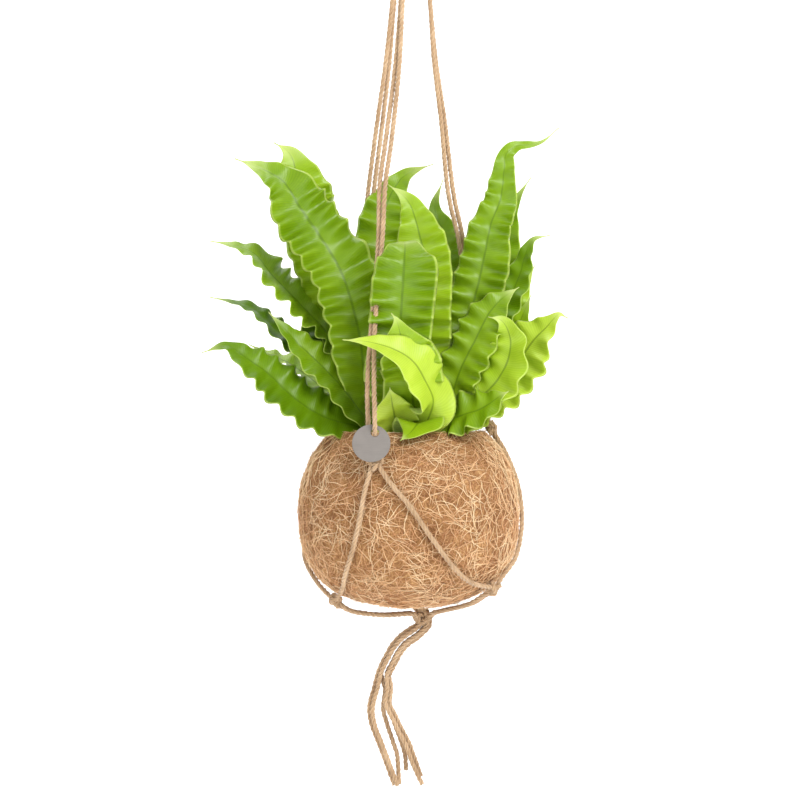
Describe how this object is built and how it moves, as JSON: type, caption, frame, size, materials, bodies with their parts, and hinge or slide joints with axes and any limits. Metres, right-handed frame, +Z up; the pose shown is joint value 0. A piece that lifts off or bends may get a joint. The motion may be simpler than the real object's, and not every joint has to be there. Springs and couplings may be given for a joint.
{
  "type": "hanging fern kokedama",
  "caption": "Wavy-leaved bird's-nest fern growing in a round coir ball, hung by a knotted jute twine net with a hanging loop, a tassel and a plain round tag.",
  "frame": {"origin": "the point where the hanging loop bears on its hook, at the loop's inner top", "axes": "+Z up along the hanger, front of the plant towards -Y, +X to its right"},
  "size_m": [0.2955, 0.205, 0.8325],
  "materials": {
    "coir": "matted coconut fibre, rough and fibrous, tan with gold and brown strands",
    "potting_mix": "dark crumbly bark and peat mix",
    "rootstock": "short dark rootstock under papery brown scales",
    "jute": "natural three-ply jute twine, hairy, unbleached",
    "tag": "plain warm grey disc, satin, unprinted",
    "frond": "living leaf, waxy on the upper face, paler and duller beneath"
  },
  "bodies": {
    "root": {"coir_pot": "coir", "root_ball": "potting_mix", "fern_crown": "rootstock", "front_left_twine": "jute", "front_right_twine": "jute", "right_front_twine": "jute", "right_back_twine": "jute", "back_right_twine": "jute", "back_left_twine": "jute", "top_knot": "jute", "front_knot": "jute", "right_knot": "jute", "back_knot": "jute", "lower_left_knot": "jute", "lower_right_knot": "jute", "lower_back_knot": "jute", "base_knot": "jute", "twine_loop": "jute", "round_tag": "tag", "frond_left_tall": "frond", "frond_left_tall_back": "frond", "frond_left_middle": "frond", "frond_left_low": "frond", "frond_left_lowest": "frond", "frond_left_back_pale": "frond", "frond_centre_broad": "frond", "frond_centre_tall": "frond", "frond_back_centre_left": "frond", "frond_back_centre_right": "frond", "frond_right_tall": "frond", "frond_right_tall_back": "frond", "frond_right_thin": "frond", "frond_right_pale_back": "frond", "frond_right_lime_back": "frond", "frond_right_broad": "frond", "frond_right_curved": "frond", "frond_right_front_long": "frond", "frond_right_front_low": "frond", "frond_front_bright": "frond", "frond_front_centre": "frond", "frond_front_pale": "frond", "frond_front_over_rim": "frond", "frond_left_inner_wavy": "frond", "frond_left_inner_dark": "frond", "frond_far_right_low": "frond", "frond_far_right_tall": "frond", "frond_far_right_arched": "frond", "frond_far_middle_tall": "frond", "frond_far_middle_low": "frond", "frond_far_left_tall": "frond", "frond_far_left_arched": "frond"}
  },
  "joints": []
}
